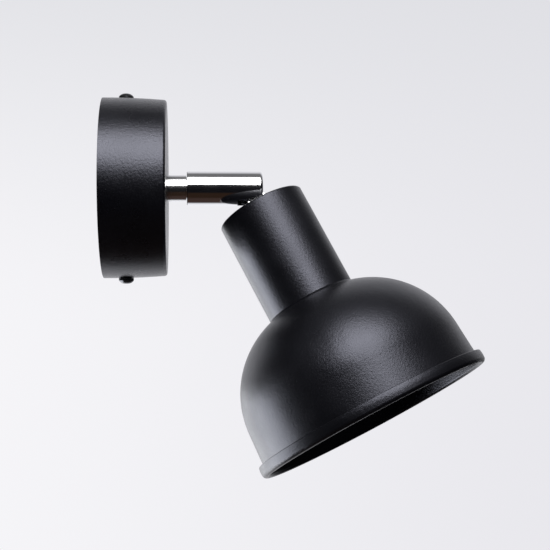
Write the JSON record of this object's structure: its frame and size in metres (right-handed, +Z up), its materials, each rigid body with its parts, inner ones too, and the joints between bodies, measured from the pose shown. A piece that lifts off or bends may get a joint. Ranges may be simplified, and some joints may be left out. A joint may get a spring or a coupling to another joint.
{
  "type": "pivoting spotlight wall light",
  "caption": "Wall spotlight: round canopy, short swivelling arm with a tilting tongue, and a cup-necked dome shade with a beaded mouth around a small screw lampholder.",
  "frame": {"origin": "point where the arm's axis meets the wall plane, at the centre of the canopy's back", "axes": "+X away from the wall along the arm, +Z up, +Y sideways to the wall light's left when it is faced from the room"},
  "size_m": [0.1645, 0.1159, 0.1704],
  "materials": {
    "black_coat": "fine satin powder coat",
    "black_screw": "gloss black",
    "chrome": "polished",
    "zinc": "zinc plated",
    "brass": "plain",
    "black_plastic": "moulded",
    "white_plastic": "moulded",
    "ceramic": "insulating disc",
    "rubber": "moulded",
    "wire_brown": "insulation",
    "wire_blue": "insulation",
    "wire_green": "insulation"
  },
  "bodies": {
    "wall_base": {"canopy_shell": "black_coat", "wall_bracket": "zinc", "canopy_screws": "black_screw", "cable_grommet": "rubber", "terminal_block": "white_plastic", "terminal_sleeves": "brass", "terminal_screws": "zinc", "block_screw": "zinc", "earth_lug": "zinc", "earth_screw": "brass", "stub_washer": "zinc", "stub_nut": "zinc", "swivel_stub": "chrome", "live_wire": "wire_brown", "neutral_wire": "wire_blue", "earth_wire": "wire_green"},
    "arm": {"swivel_arm": "chrome", "stop_screw": "zinc", "pivot_screw": "chrome", "pivot_washers": "zinc"},
    "head": {"tilt_tongue": "chrome", "neck_cup": "black_coat", "dome_shade": "black_coat", "head_washer": "zinc", "head_nut": "zinc", "holder_cap": "black_plastic", "holder_skirt": "black_plastic", "contact_carrier": "ceramic", "carrier_screws": "brass", "socket_shell": "brass", "centre_contact": "brass", "shade_ring": "black_plastic", "head_live_wire": "wire_brown", "head_neutral_wire": "wire_blue"}
  },
  "joints": [
    {"name": "arm_swivel", "type": "hinge", "parent": "wall_base", "child": "arm", "pos_m": [0.037, 0, 0], "axis": [1, 0, 0], "range_deg": [-132, 158]},
    {"name": "head_tilt", "type": "hinge", "parent": "arm", "child": "head", "pos_m": [0.065, 0, 0], "axis": [0, -0.9744, 0.225], "range_deg": [-26.3, 63.7]}
  ]
}
